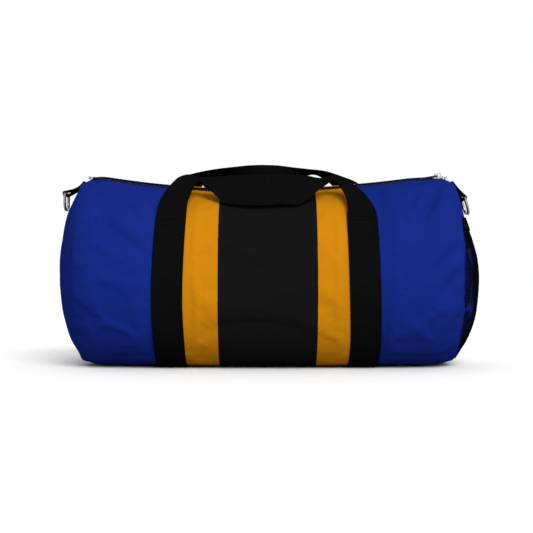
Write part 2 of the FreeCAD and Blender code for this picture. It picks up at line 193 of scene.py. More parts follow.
def mesh_piece(name, points, faces, uvs=None, smooth=True):
    mesh = bpy.data.meshes.new(name)
    mesh.from_pydata([tuple(p) for p in points], [], [tuple(f) for f in faces])
    if uvs is not None:
        layer = mesh.uv_layers.new(name="cloth")
        which = np.empty(len(mesh.loops), int)
        mesh.loops.foreach_get("vertex_index", which)
        layer.data.foreach_set("uv", np.asarray(uvs, float)[which].ravel())
    mesh.polygons.foreach_set("use_smooth", [smooth] * len(mesh.polygons))
    mesh.update()
    return put(name, mesh)


def corners(mesh):
    """Places of a mesh's points, one row each."""
    places = np.empty(len(mesh.vertices) * 3)
    mesh.vertices.foreach_get("co", places)
    return places.reshape(-1, 3)


def grid_faces(rows, columns, wrap=False, start=0):
    faces = []
    for row in range(rows - 1):
        for column in range(columns if wrap else columns - 1):
            after = (column + 1) % columns
            faces.append((start + row * columns + column, start + (row + 1) * columns + column,
                          start + (row + 1) * columns + after, start + row * columns + after))
    return faces


def sweep(centres, across, profile, closed_ends=True):
    """Points and faces of a profile (side, out) carried along a path with a side direction."""
    centres = np.asarray(centres, float)
    tangent = unit(np.gradient(centres, axis=0))
    side = unit(across - (across * tangent).sum(1)[:, None] * tangent)
    out = np.cross(side, tangent)
    profile = np.asarray(profile, float)
    rows, columns = len(centres), len(profile)
    points = (centres[:, None] + profile[None, :, 0, None] * side[:, None]
              + profile[None, :, 1, None] * out[:, None]).reshape(-1, 3)
    faces = grid_faces(rows, columns, wrap=True)
    if closed_ends:
        faces.append(tuple(range(columns)))
        faces.append(tuple(reversed(range((rows - 1) * columns, rows * columns))))
    return points, faces


def gather(name, parts):
    """One object from many (points, faces) pairs."""
    points, faces, count = [], [], 0
    for part_points, part_faces in parts:
        points.append(np.asarray(part_points))
        faces.extend(tuple(index + count for index in face) for face in part_faces)
        count += len(part_points)
    return mesh_piece(name, np.vstack(points), faces)


def round_profile(radius, sides=8):
    angles = np.linspace(0, 2 * math.pi, sides, endpoint=False)
    return np.stack([radius * np.cos(angles), radius * np.sin(angles)], 1)


print("mesh helpers ready")

# %% [markdown]
# The wrap is one printed panel sewn to the zip along both long edges and to the end panels at
# both ends. Cloth that is filled by hand is never a true barrel: it puckers where a flat panel is
# gathered onto a round end, it pulls towards the handles, and it hangs a little between them.


# %% Lay out the wrap as a fine grid
ROWS, COLUMNS = 161, 233
GIRTH = 0.77  # round the barrel, from one side of the zip to the other
EDGE_X = [-0.240, -0.225, -0.130, 0.0, 0.120, 0.185, 0.208, 0.240]
FRONT_EDGE = [-0.5, -1.4, -2.2, -1.4, 1.0, 1.0, 0.0, 0.0]  # how far each side of the zip stands
BACK_EDGE = [1.5, 3.6, 3.4, 4.4, 5.8, 5.8, 4.0, 2.0]  # above the design's line, millimetres
BACK_BULGE = [0.8, 1.8, 1.8, 1.4, 0.9, 0.9, 0.6, 0.4]  # fullness just behind the zip


def edge_shift(x, side):
    """Rise of the cloth beside the zip: the back panel is fuller than the front one."""
    return float(np.interp(x, EDGE_X, BACK_EDGE if side > 0 else FRONT_EDGE)) * MM


along_x = np.linspace(-HALF_LENGTH, HALF_LENGTH, ROWS)
wrap_grid = np.empty((ROWS, COLUMNS, 3))
for row, x in enumerate(along_x):
    wrap_grid[row, :, 0] = x
    wrap_grid[row, :, 1:] = outline(x, 0, COLUMNS)
wrap_uv = np.empty((ROWS, COLUMNS, 2))
wrap_uv[..., 0] = wrap_grid[..., 0]
wrap_uv[..., 1] = np.linspace(0, GIRTH, COLUMNS)[None, :]


def grid_normals(grid):
    """Outward normals of the wrap's grid."""
    by_row = np.gradient(grid, axis=0)
    by_column = np.gradient(grid, axis=1)
    normal = np.cross(by_column, by_row)
    return normal / np.linalg.norm(normal, axis=2)[..., None]


girth = np.linspace(0, GIRTH, COLUMNS)
for row, x in enumerate(along_x):
    ease_front = np.clip(1 - girth / 0.060, 0, 1)
    ease_back = np.clip(1 - (GIRTH - girth) / 0.080, 0, 1)
    wrap_grid[row, :, 2] += edge_shift(x, -1) * ease_front**2 * (3 - 2 * ease_front)
    wrap_grid[row, :, 2] += edge_shift(x, 1) * ease_back**2 * (3 - 2 * ease_back)
    bulge = float(np.interp(x, EDGE_X, BACK_BULGE)) * MM
    wrap_grid[row, :, 2] += bulge * np.exp(-((GIRTH - girth - 0.024) / 0.014) ** 2)
wrap_out = grid_normals(wrap_grid)
if wrap_out[ROWS // 2, COLUMNS // 2, 2] > 0:
    wrap_out = -wrap_out
print("wrap grid", ROWS, "x", COLUMNS, "steps of", round(2000 * HALF_LENGTH / (ROWS - 1), 2), "mm")

# %% [markdown]
# Folds run from where cloth is held tight towards where it is slack: from the end seams and from
# the bands, slanting inwards. They could come from a long simulation of the whole bag, but a list
# of lines that raise or sink the cloth is quicker, and keeps each fold where it belongs. Noise
# adds the puckers at the seams, and nothing sinks deeper than the lining allows.


# %% Folds, puckers and pull lines
def ridge(x, z, start, end, width):
    """1 on a line from start to end in the front view, fading over width."""
    start, end = np.array(start), np.array(end)
    line = end - start
    length = np.linalg.norm(line)
    part = ((x - start[0]) * line[0] + (z - start[1]) * line[1]) / length**2
    off = ((x - start[0]) * -line[1] + (z - start[1]) * line[0]) / length
    fade = np.clip(part * 4, 0, 1) * np.clip((1 - part) * 2.2, 0, 1)
    return np.exp(-(off / width) ** 2) * fade


def soft_noise(x, y, z, scale, seed):
    return noise.noise(Vector((x * scale + seed, y * scale - seed, z * scale + 2 * seed)))


FRONT_FOLDS = [  # start and end in (x, z), width, height; metres; valleys are negative
    ((0.216, 0.232), (0.184, 0.170), 0.0070, -0.0062),
    ((0.236, 0.222), (0.204, 0.160), 0.0080, 0.0026),
    ((0.235, 0.158), (0.194, 0.110), 0.0070, -0.0050),
    ((0.237, 0.124), (0.208, 0.090), 0.0060, -0.0042),
    ((0.239, 0.090), (0.210, 0.050), 0.0080, 0.0022),
    ((0.170, 0.215), (0.146, 0.120), 0.0110, 0.0016),
    ((-0.214, 0.190), (-0.136, 0.131), 0.0080, -0.0056),
    ((-0.222, 0.216), (-0.144, 0.172), 0.0080, 0.0022),
    ((-0.186, 0.218), (-0.138, 0.178), 0.0065, -0.0042),
    ((-0.222, 0.168), (-0.160, 0.118), 0.0100, 0.0020),
    ((-0.239, 0.080), (-0.190, 0.050), 0.0090, -0.0018),
    ((-0.095, 0.205), (-0.010, 0.140), 0.0100, 0.0022),
    ((0.095, 0.205), (0.010, 0.140), 0.0100, 0.0022),
]
x, y, z = wrap_grid[..., 0], wrap_grid[..., 1], wrap_grid[..., 2]
lift = 0.0044 * np.clip(np.abs(y) / 0.06 - 0.6, 0, 1) * np.exp(-((np.abs(x) - 0.188) / 0.044) ** 4)
for start, end, width, height in FRONT_FOLDS:
    for side, share, shift in ((-1, 1.0, 0.0), (1, 0.8, 0.013)):
        facing = np.clip(side * y / 0.04, 0, 1)
        lift += height * share * facing * ridge(x + shift, z - shift, start, end, width)
for row in range(ROWS):
    for column in range(COLUMNS):
        px, py, pz = wrap_grid[row, column]
        from_seam = HALF_LENGTH - abs(px)
        broad = soft_noise(px, py, pz, 9, 3.1) * 0.0016 + soft_noise(px, py, pz, 24, 8.7) * 0.0007
        pucker = soft_noise(px * 0.25, py, pz, 60, 5.5 if px > 0 else 1.5)
        pucker *= 0.0026 * math.exp(-from_seam / 0.022)
        lift[row, column] += broad + pucker
near_band = np.exp(-((np.abs(x) - BAND_X - 0.001) / 0.028) ** 6)
lift *= 1 - 0.85 * near_band
lift -= 0.0011 * near_band * (z > 0.02)
edge_fade = np.minimum(np.arange(COLUMNS), np.arange(COLUMNS)[::-1]) / 10
lift *= np.clip(edge_fade, 0, 1)[None, :] * np.clip((HALF_LENGTH - np.abs(x)) / 0.004, 0.15, 1)
lift = np.where(z < 0.02, np.minimum(lift, 0.0), lift)
lift = np.maximum(lift, -0.0014)
wrap_grid = wrap_grid + wrap_out * lift[..., None]
print("folds from", round(1000 * lift.min(), 2), "to", round(1000 * lift.max(), 2), "mm")

# %% [markdown]
# Cloth simulation settles the panels. The seams, the zip edges and the cloth under the bands are
# pinned, the cloth is let out by about one percent, and a little pressure fills it, so that the
# spare cloth finds its own shallow waves between the pins. A cap keeps it near the design.


# %% A short cloth simulation whose result is kept as a plain mesh
CLOTH = {
    "quality": 6, "mass": 0.25, "tension_stiffness": 25, "compression_stiffness": 25,
    "shear_stiffness": 8, "bending_stiffness": 0.35, "vertex_group_mass": "pins", "use_pressure": True,
}


def settle(piece, pinned, outward, let_out=0.012, pressure=1.4, cap=0.0030, sink=0.0008):
    """Simulates piece with some points pinned and keeps the moved points, up to cap and sink."""
    twin = piece.copy()
    twin.data = piece.data.copy()
    bpy.context.scene.collection.objects.link(twin)
    group = twin.vertex_groups.new(name="pins")
    for index, weight in pinned.items():
        group.add([index], weight, "REPLACE")
    cloth = twin.modifiers.new("cloth", "CLOTH")
    for key, value in {**CLOTH, "shrink_min": -let_out, "uniform_pressure_force": pressure}.items():
        setattr(cloth.settings, key, value)
    cloth.settings.effector_weights.gravity = 0
    scene = bpy.context.scene
    for step in range(1, 21):
        scene.frame_set(step)
    graph = bpy.context.evaluated_depsgraph_get()
    settled = twin.evaluated_get(graph).to_mesh()
    old = corners(piece.data)
    moved = corners(settled) - old
    reach = np.linalg.norm(moved, axis=1)[:, None]
    moved *= np.minimum(1, cap / np.maximum(reach, 1e-9))
    sunk = np.minimum((moved * outward).sum(1) + sink, 0)
    moved -= outward * sunk[:, None]
    result = old + moved
    result[:, 2] = np.maximum(result[:, 2], np.minimum(old[:, 2], FLOOR_GAP))
    piece.data.vertices.foreach_set("co", result.ravel())
    piece.data.update()
    scene.frame_set(1)
    bpy.data.objects.remove(twin)
    print(piece.name, "settled, largest move", round(1000 * float(reach.max()), 2), "mm")


wrap = mesh_piece("wrap_cloth", wrap_grid.reshape(-1, 3), grid_faces(ROWS, COLUMNS),
                  wrap_uv.reshape(-1, 2))
pins = {}
for row in range(ROWS):
    for column in range(COLUMNS):
        px = abs(along_x[row])
        at_edge = row in (0, ROWS - 1) or column < 2 or column > COLUMNS - 3
        under_band = abs(px - BAND_X) < WEBBING / 2 + 0.004
        resting = wrap_grid[row, column, 2] < 0.006
        if at_edge or under_band or resting:
            pins[row * COLUMNS + column] = 1.0
settle(wrap, pins, wrap_out.reshape(-1, 3))

# %% [markdown]
# The long edges of the wrap are folded under and topstitched to the zip tape, and the ends turn in
# at the seam. Both hems are made by carrying the outer rows inwards, which gives the cloth a
# visible thickness just where an edge shows.


# %% Hem the wrap at the zip and at the end seams
def hem_wrap(piece):
    """Adds a turned-in rim along the wrap's four edges."""
    grid = corners(piece.data).reshape(ROWS, COLUMNS, 3)
    zip_rows = []
    for side, columns in ((1, (0, 1)), (-1, (COLUMNS - 1, COLUMNS - 2))):
        edge = grid[:, columns[0]]
        away = unit(grid[:, columns[1]] - edge)
        down = np.array([0, 0, -1.0])
        zip_rows.append([edge - away * 0.0006 + down * 0.0006, edge + down * 0.0012,
                         edge + away * 0.007 + down * 0.0016])
    left = [zip_rows[0][k] for k in (2, 1, 0)]
    right = [zip_rows[1][k] for k in (0, 1, 2)]
    full = np.concatenate([np.stack(left, 1), grid, np.stack(right, 1)], axis=1)
    axis = np.array([0, 0, SEAM_HEIGHT])
    rims = []
    for row, sign in ((0, -1), (-1, 1)):
        edge = full[row]
        inward = unit((axis - edge) * [0, 1, 1])
        turn = edge + inward * 0.0012 + np.array([sign * 0.0004, 0, 0])
        tuck = edge + inward * 0.0035 - np.array([sign * 0.0014, 0, 0])
        rims.append((turn, tuck))
    (left_turn, left_tuck), (right_turn, right_tuck) = rims
    full = np.concatenate([left_tuck[None], left_turn[None], full, right_turn[None], right_tuck[None]])
    rows, columns = full.shape[:2]
    round_bag = np.broadcast_to(np.linspace(-0.01, GIRTH + 0.01, columns), (rows, columns))
    uvs = np.stack([full[..., 0], round_bag], -1).reshape(-1, 2)
    bpy.data.objects.remove(piece)
    return mesh_piece("wrap_cloth", full.reshape(-1, 3), grid_faces(rows, columns), uvs)


wrap = hem_wrap(wrap)
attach(wrap, "bag")
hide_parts("body_wrap")
print("wrap", len(wrap.data.vertices), "points")


# %% [markdown]
# Each end is a flat disc of cloth that the filling pushes out into a dome. The dome is lowest in
# relief near the top, where nothing presses on it, and its rim puckers where it is gathered into
# the seam. Polar rings, closer near the rim, put the mesh where the folds are.

# %% Domed end panels
RINGS, SPOKES = 44, 240
DOME_SPHERE = (SEAM_ROUND**2 + DOME**2) / (2 * DOME)
FILL_HEIGHT = [0.011, 0.032, 0.055, 0.079, 0.095, 0.118, 0.142, 0.165, 0.189, 0.212, 0.237]
# How much fuller than a true dome each end stands at those heights.
FILL_LEFT = [1.50, 1.60, 1.36, 1.20, 1.13, 1.08, 1.10, 1.09, 1.16, 1.25, 1.20]
FILL_RIGHT = [1.50, 1.62, 1.42, 1.23, 1.16, 1.11, 1.04, 0.90, 0.66, 0.62, 0.70]


def dome_rise(radius, height, side=1):
    """How far the filled panel stands out of the seam's plane; the right one has sunk."""
    sphere = math.sqrt(max(DOME_SPHERE**2 - radius**2, 0)) - (DOME_SPHERE - DOME)
    return sphere * float(np.interp(height, FILL_HEIGHT, FILL_LEFT if side < 0 else FILL_RIGHT))


def end_panel(name, node_name, side, seed):
    points, uvs = [(side * (HALF_LENGTH + dome_rise(0, SEAM_HEIGHT, side)), 0, SEAM_HEIGHT)], [(0, 0)]
    for ring in range(1, RINGS + 1):
        share = math.sin(ring / RINGS * math.pi / 2)
        radius = (SEAM_ROUND - 0.0012) * share
        for spoke in range(SPOKES):
            angle = 2 * math.pi * spoke / SPOKES
            y, z = radius * math.cos(angle), SEAM_HEIGHT + radius * math.sin(angle)
            rise = dome_rise(radius, z, side)
            from_rim = SEAM_ROUND - radius
            pucker = soft_noise(y, z, 0, 48, seed) * 0.0030 * math.exp(-from_rim / 0.016)
            pucker *= min(1, from_rim / 0.003)
            broad = soft_noise(y, z, 0, 16, seed + 4) * 0.0022 * min(1, from_rim / 0.03)
            ditch = 0.0024 * math.exp(-((from_rim - 0.0005) / 0.0026) ** 2)
            out = rise + pucker + broad - ditch
            if ring == RINGS:
                out = -0.0012
            points.append((side * (HALF_LENGTH + out), y, float(seat(z))))
            uvs.append((y, z))
    faces = [(0, 1 + spoke, 1 + (spoke + 1) % SPOKES) for spoke in range(SPOKES)]
    faces += grid_faces(RINGS, SPOKES, wrap=True, start=1)
    if side < 0:
        faces = [tuple(reversed(face)) for face in faces]
    panel = mesh_piece(name, points, faces, uvs)
    pinned = {index: 1.0 for index in range(1 + (RINGS - 2) * SPOKES, len(points))}
    outward = np.tile([float(side), 0, 0], (len(points), 1))
    settle(panel, pinned, outward, let_out=0.010, pressure=1.0, cap=0.0024 if side < 0 else 0.0010)
    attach(panel, "bag")
    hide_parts(node_name)
    return panel


end_left = end_panel("end_cloth_left", "end_panel_left", -1, 21.3)
end_right = end_panel("end_cloth_right", "end_panel_right", 1, 42.9)
print("end panels", len(end_left.data.vertices), "points each")

# %% [markdown]
# Webbing is woven flat, so it bends over its face and twists, but it never stretches. It is swept
# from a profile with thick selvages and a slightly ribbed face, along a path with a side
# direction that turns as the real strap turns. A path is given by pairs of edge points.

# %% Webbing
WEB_THICK = 0.0017
BAND_TOP = 0.1900  # the handles carry on from here


def webbing_profile(width=WEBBING, thick=WEB_THICK, ribs=9):
    """Closed outline of a strap: ribbed faces between two round selvages."""
    face = []
    for step in range(4 * ribs + 1):
        part = step / (4 * ribs)
        side = (part - 0.5) * (width - thick)
        rib = 0.00010 * math.cos(2 * math.pi * ribs * part)
        selvage = 0.00025 * math.exp(-((abs(part - 0.5) - 0.465) / 0.025) ** 2)
        face.append((side, thick / 2 + rib + selvage))
    under = [(side, -height) for side, height in reversed(face)]
    return [*face, (width / 2, 0.0), *under, (-width / 2, 0.0)]


def strap_map(path, profile):
    """Map of a strap in metres: across the webbing, then along it."""
    across = np.asarray(profile)[:, 0]
    grid = np.stack(np.meshgrid(lengths(path), across, indexing="ij")[::-1], -1)
    return grid.reshape(-1, 2)


BOW_HEIGHT = [0, 0.03, 0.055, 0.08, 0.11, 0.14, 0.19]
BAND_BOW = {  # millimetres outwards at those heights, because the filling pushes the bands apart
    "left": [1.0, 1.6, 2.5, 3.0, 2.6, 1.6, 0.0],
    "right": [3.0, 4.0, 3.3, 2.5, 1.6, 0.9, 0.0],
}


def bow_out(x, heights):
    """How far a band sewn at x stands sideways at those heights."""
    return math.copysign(MM, x) * np.interp(heights, BOW_HEIGHT, BAND_BOW["left" if x < 0 else "right"])


def band_path(x):
    """Middle line of a band round the underside, from the front to the back."""
    section = outline(x, WEB_THICK / 2 + 0.0003, 200)
    keep = section[section[:, 1] < BAND_TOP]
    keep[:, 1] = np.maximum(keep[:, 1], WEB_THICK / 2 + 0.0003)
    return resample(np.column_stack([x + bow_out(x, keep[:, 1]), keep]), 240)


BAND_PATHS = {side_name: band_path(x) for side_name, x in BAND_AT.items()}
for side_name, path in BAND_PATHS.items():
    across = np.tile([1.0, 0, 0], (len(path), 1))
    points, faces = sweep(path, across, webbing_profile())
    band = mesh_piece(f"band_{side_name}", points, faces, strap_map(path, webbing_profile()))
    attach(band, "bag")
    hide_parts(f"webbing_band_{side_name}")
print("bands", round(float(lengths(path)[-1]), 3), "m each")

# %% [markdown]
# The front handle has flopped forward: its legs follow the barrel up, twist at the top, and the
# grip hangs down in front with its face to the viewer. The back handle leans over the zip. Each
# is drawn as pairs of edge points, outer edge first, because that is what the eye can follow.

# %% Handles
FRONT_STRAP = [  # (outer or top edge), (inner or lower edge), from the left band to the right
    ((-134.8, -88, 207), (-99.5, -87, 207)),
    ((-129.5, -73, 221), (-96.5, -79, 217)),
    ((-122.0, -62, 232), (-94.0, -76, 224)),
    ((-113, -54, 241), (-90.5, -72, 230.5)),
    ((-101, -50, 244.5), (-84.5, -68, 236)),
    ((-88, -51, 241.5), (-79.5, -72, 228.5)),
    ((-74, -55, 241.5), (-70.5, -76, 222)),
    ((-60, -60, 242.2), (-62, -78.5, 213.5)),
    ((-48, -63, 242.7), (-55, -80, 207)),
    ((-30, -65, 243.2), (-34, -81, 204.5)),
    ((-8, -66, 243.6), (-10, -82, 203.2)),
    ((16, -66, 243.6), (16, -81, 205.4)),
    ((36, -65, 243.2), (38, -80.5, 204.6)),
    ((52, -61, 242.4), (52, -78, 213)),
    ((61, -57, 240.5), (63.5, -74, 223.6)),
    ((70, -53, 240), (74, -70, 231.5)),
    ((80, -50, 243), (82, -66, 237.5)),
    ((90, -50, 243), (86.5, -69, 233)),
    ((102, -57, 236), (92, -73, 226)),
    ((113, -66, 227.5), (96, -79, 217.5)),
    ((123, -77, 217), (98.5, -86, 207.5)),
    ((132, -88, 202.5), (98.5, -91.5, 199)),
]
BACK_STRAP = [
    ((-133.5, 79, 211), (-97, 80, 209)),
    ((-131, 62, 228), (-95, 66, 223)),
    ((-126, 44, 239), (-91, 52, 233)),
    ((-115, 22, 246), (-84, 40, 239)),
    ((-97, 4, 250), (-74, 30, 241)),
    ((-75, -10, 253.5), (-60, 20, 241)),
    ((-48, -15, 257), (-40, 6, 236)),
    ((-20, -12, 260), (-18, -8, 231)),
    ((8, -9, 260.2), (8, -12, 231)),
    ((30, -13, 257.5), (28, -6, 236)),
    ((52, -17, 254), (42, 9, 245)),
    ((75, -12, 251.5), (60, 20, 250.5)),
    ((97, 4, 246), (74, 30, 246)),
    ((115, 22, 241), (84, 40, 239)),
    ((126, 44, 236), (91, 52, 232)),
    ((131, 62, 227), (95, 66, 223)),
    ((133.5, 79, 211), (97, 80, 209)),
]


def strap_ends(front):
    """The bands' ends as two edge pairs each, in millimetres: they start and finish a handle."""
    pairs = {}
    for side_name, path in BAND_PATHS.items():
        x = path[0, 0] / MM
        ends = path[[0, 4]] if front else path[[-1, -5]]
        side = -1 if side_name == "left" else 1
        outer, inner = x + side * WEBBING / 2 / MM, x - side * WEBBING / 2 / MM
        pairs[side_name] = [((outer, y / MM, z / MM), (inner, y / MM, z / MM)) for _, y, z in ends]
    return pairs


def strap_sweep(stations, front, step=0.0022):
    """Rows of a strap whose two edges run through the pairs of points, given in millimetres."""
    ends = strap_ends(front)
    whole = [ends["left"][0], *stations, ends["right"][0]]
    pairs = np.array([[*outer, *inner] for outer, inner in whole], float) * MM
    track = smooth_path(np.hstack([(pairs[:, :3] + pairs[:, 3:]) / 2, pairs]), step)
    centre, side = track[:, :3], track[:, 3:6] - track[:, 6:9]
    tangent = np.gradient(centre, axis=0)
    for end, key in ((0, "left"), (-1, "right")):
        outer, inner = (np.array(edge) for edge in ends[key][0])
        before = (np.array(ends[key][1][0]) + np.array(ends[key][1][1])) / 2
        tangent[end] = ((outer + inner) / 2 - before) * (1 if end == 0 else -1)
    out = np.cross(tangent, side)
    out = unit(out)
    profile = np.array(webbing_profile())
    return (centre[:, None] + profile[None, :, 0, None] / WEBBING * side[:, None]
            + profile[None, :, 1, None] * out[:, None])


def strap_run(name, rows):
    """One stretch of a strap. Its ends stay open, because another stretch always carries on there."""
    faces = grid_faces(*rows.shape[:2], wrap=True)
    uvs = strap_map(rows.mean(axis=1), webbing_profile())
    return mesh_piece(name, rows.reshape(-1, 3), faces, uvs)


def metres(*values):
    return tuple(value * MM for value in values)


front_rows = strap_sweep(FRONT_STRAP, front=True)
middles = front_rows.mean(axis=1)
left_peak = int(np.argmin(np.abs(middles[:, 0] + 0.096)))
right_peak = int(np.argmin(np.abs(middles[:, 0] - 0.096)))
centre_row = int(np.argmin(np.abs(middles[:, 0])))
stretches = {
    "front_handle_leg_left": front_rows[:left_peak + 1],
    "front_handle_grip_left": front_rows[left_peak:centre_row + 1],
    "front_handle_grip_right": front_rows[centre_row:right_peak + 1],
    "front_handle_leg_right": front_rows[right_peak:],
}
straps = []
for name, rows in stretches.items():
    piece = strap_run(name, rows)
    if "leg" in name:
        metres(0, -94, 190.5)
        metres(0, -84, 207)
        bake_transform(piece)
    else:
        sign = -1 if "left" in name else 1
        metres(sign * 96, -62, 240)
        metres(sign * 62, -62, 240)
        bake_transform(piece)
    straps.append(piece)
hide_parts("handle_front_legs")
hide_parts("handle_front_grip")
back = strap_run("back_handle", strap_sweep(BACK_STRAP, front=False))
metres(0, 94, 190.5)
metres(0, 83, 207)
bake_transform(back)
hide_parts("handle_back")
straps.append(back)
print("handles:", len(straps), "pieces")

# %% [markdown]
# A coil zip is one nylon filament wound into flat loops and sewn to each tape. The loops of the
# two sides interlock. The design holds them as two plain bars along an arc, so the loops are
# wound here along the same arc, half a pitch apart.


# %% Zip coil and tapes
COIL_PITCH = 1.5 * MM
COIL_WIRE = 0.34 * MM
CHAIN_END = 0.2305
COIL_MIDDLE = MID_TOP - 0.0020  # height of the coil's middle where the bag sags most


def on_zip(x, lift=0.0, y=0.0):
    """Height of the zip at x, and at y across it, because the zip leans to the front."""
    front, back = edge_shift(x, -1), edge_shift(x, 1)
    lean = (front + back) / 2 + (back - front) * y / (2 * ZIP_EDGE)
    return COIL_MIDDLE + lift + ARC_RADIUS - math.sqrt(ARC_RADIUS**2 - x**2) + lean


def coil(name, side, node_name):
    """Flat loops of one side of the zip."""
    turns = int(2 * (CHAIN_END - 0.0005) / COIL_PITCH)
    middle, half_wide, half_high = side * 2.1 * MM, 1.2 * MM, 0.75 * MM
    per_turn = 10
    points = []
    for step in range(turns * per_turn + 1):
        part = step / per_turn
        angle = 2 * math.pi * part
        x = -CHAIN_END + 0.0005 + COIL_PITCH * (part + (0.5 if side > 0 else 0))
        x = min(x, CHAIN_END)
        y = middle - side * half_wide * math.cos(angle)
        z = on_zip(x, y=y) + half_high * math.sin(angle)
        points.append((x, y, z))
    across = np.tile([0, 0, 1.0], (len(points), 1)) + 0.01
    piece = mesh_piece(name, *sweep(points, across, round_profile(COIL_WIRE, 5)))
    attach(piece, "bag")
    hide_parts(node_name)
    return piece


def zip_tape(name, side, node_name):
    """Woven tape with a thick corded edge beside the coil; the rest dives under the cloth."""
    xs = np.linspace(-CHAIN_END, CHAIN_END, 186)
    centres = np.array([(x, side * 9.4 * MM, on_zip(x, -0.6 * MM, side * 9.4 * MM)) for x in xs])
    centres[:, 2] -= 0.0022 * np.clip((np.abs(xs) - CHAIN_END + 0.012) / 0.012, 0, 1)
    slope = np.array([(edge_shift(x, 1) - edge_shift(x, -1)) / (2 * ZIP_EDGE) for x in xs])
    outline_points = [(-6.2, 0.28), (-5.2, 0.5), (-4.2, 0.34), (-1.2, 0.28), (2.4, -1.2), (5.2, -3.4),
                      (4.9, -3.8), (2.2, -1.7), (-1.2, -0.28), (-4.2, -0.3), (-6.2, -0.28)]
    profile = np.array(outline_points[::-1]) * MM
    across = side * np.column_stack([np.zeros(len(xs)), np.ones(len(xs)), slope])
    profile[:, 1] *= -side
    piece = mesh_piece(name, *sweep(centres, across, profile))
    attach(piece, "bag")
    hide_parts(node_name)
    return piece


coil_front = coil("zip_coil_front", -1, "zipper_coil_front")
coil_back = coil("zip_coil_back", 1, "zipper_coil_back")
tape_front = zip_tape("zip_tape_front", -1, "zipper_tape_front")
tape_back = zip_tape("zip_tape_back", 1, "zipper_tape_back")
print("coil loops per side:", int(2 * CHAIN_END / COIL_PITCH))

# %% [markdown]
# Stitches are what makes sewn goods look sewn. Each is a short, slightly sunk capsule of thread.
# A row of them follows a line on a surface; the two ends dip into the cloth.


# %% Stitches
def stitch_row(line, outward, length=2.6 * MM, gap=0.7 * MM, wire=0.30 * MM):
    """Stitches along a dense line of points, as (points, faces) pairs."""
    line = np.asarray(line, float)
    outward = np.asarray(outward, float)
    along = lengths(line)
    parts = []
    place = gap
    while place + length < along[-1]:
        spots = place + length * np.array([0, 0.12, 0.35, 0.65, 0.88, 1])
        sink = wire * np.array([-1.2, -0.1, 0.45, 0.45, -0.1, -1.2])
        centres = np.stack([np.interp(spots, along, line[:, k]) for k in range(3)], 1)
        away = np.stack([np.interp(spots, along, outward[:, k]) for k in range(3)], 1)
        centres += away * sink[:, None]
        tangent = centres[-1] - centres[0]
        side = np.cross(away, tangent)
        parts.append(sweep(centres, side, round_profile(wire, 6)))
        place += length + gap
    return parts


def away_from(points, height):
    """Directions away from the bag's middle line at that height."""
    away = np.array(points, float)
    away[:, 0] = 0
    away[:, 2] -= height
    return unit(away)


def zip_line(edge):
    """Line along the wrap, edge metres of girth away from the zip."""
    points = []
    for x in np.linspace(-0.232, 0.232, 150):
        section = outline(x, 0.0, 400)
        along = lengths(section)
        spot = edge if edge > 0 else along[-1] + edge
        points.append((x, np.interp(spot, along, section[:, 0]), np.interp(spot, along, section[:, 1])))
    return points


def snapped(points, target):
    """Moves points onto the surface of a piece."""
    result = []
    for point in points:
        hit, place, _, _ = target.closest_point_on_mesh(Vector(point), distance=0.02)
        result.append(tuple(place if hit else Vector(point)))
    return result


zip_stitches = []
for edge in (0.0030, -0.0030, 0.0075, -0.0075):
    points = zip_line(edge)
    outs = away_from(points, np.array([top_height(x) - 0.127 for x, _, _ in points]))
    zip_stitches += stitch_row(snapped(points, wrap), outs)
stitching = gather("zip_topstitching", zip_stitches)
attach(stitching, "bag")
print("stitches along the zip:", len(zip_stitches))

# %% [markdown]
# Each handle is held by a box of stitches with a cross in it, four in all, because a box spreads
# the pull over the whole width of the webbing. Two rows more run down each band, near its edges.


# %% Tack boxes and rows along the bands
MIDDLE = 0.105  # height of the barrel's middle line


def tack_box(x, front):
    """Square of stitches with a cross, near the top of a band."""
    sign = -1 if front else 1
    section = outline(x, WEB_THICK + 0.0005, 800)
    section = section[(section[:, 0] * sign > 0) & (section[:, 1] > 0.12)]
    section = section[np.argsort(section[:, 1])]

    def place(across, height):
        y = np.interp(height, section[:, 1], section[:, 0])
        return (x + across + bow_out(x, height), y, height)

    def run(start, end):
        parts = np.linspace(0, 1, 40)[:, None]
        spots = np.array(start) * (1 - parts) + np.array(end) * parts
        line = [place(across, height) for across, height in spots]
        return stitch_row(line, away_from(line, MIDDLE), wire=0.20 * MM)

    low, high, half = 0.157, 0.186, 0.0145
    corners = [(-half, low), (half, low), (half, high), (-half, high)]
    parts = []
    for start, end in zip(corners, corners[1:] + corners[:1]):
        parts += run(start, end)
    return parts + run(corners[0], corners[2]) + run(corners[1], corners[3])


tacks = []
for place_x in BAND_AT.values():
    for front in (True, False):
        tacks += tack_box(place_x, front)
tack_piece = gather("handle_tack_stitches", tacks)
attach(tack_piece, "bag")
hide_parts("handle_tacks")


def band_edges(x):
    """Two rows of stitches that hold a band to the wrap."""
    parts = []
    for inset in (-0.0162, 0.0162):
        section = outline(x, WEB_THICK + 0.0003, 500)
        section = section[(section[:, 1] < 0.155) & (section[:, 1] > 0.006)]
        for sign in (-1, 1):
            half = section[section[:, 0] * sign > 0]
            line = np.column_stack([x + inset + bow_out(x, half[:, 1]), half])
            parts += stitch_row(line, away_from(line, MIDDLE), length=3.2 * MM, gap=0.9 * MM)
    return parts


for side_name, place_x in BAND_AT.items():
    edges = gather(f"band_stitches_{side_name}", band_edges(place_x))
    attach(edges, "bag")
print("stitches in the tacks:", len(tacks))

# %% [markdown]
# A ring tab is a short strap folded round the ring's straight bar, with both ends sewn into the
# seam. It is drawn as one strap that goes out, round the bar and back.


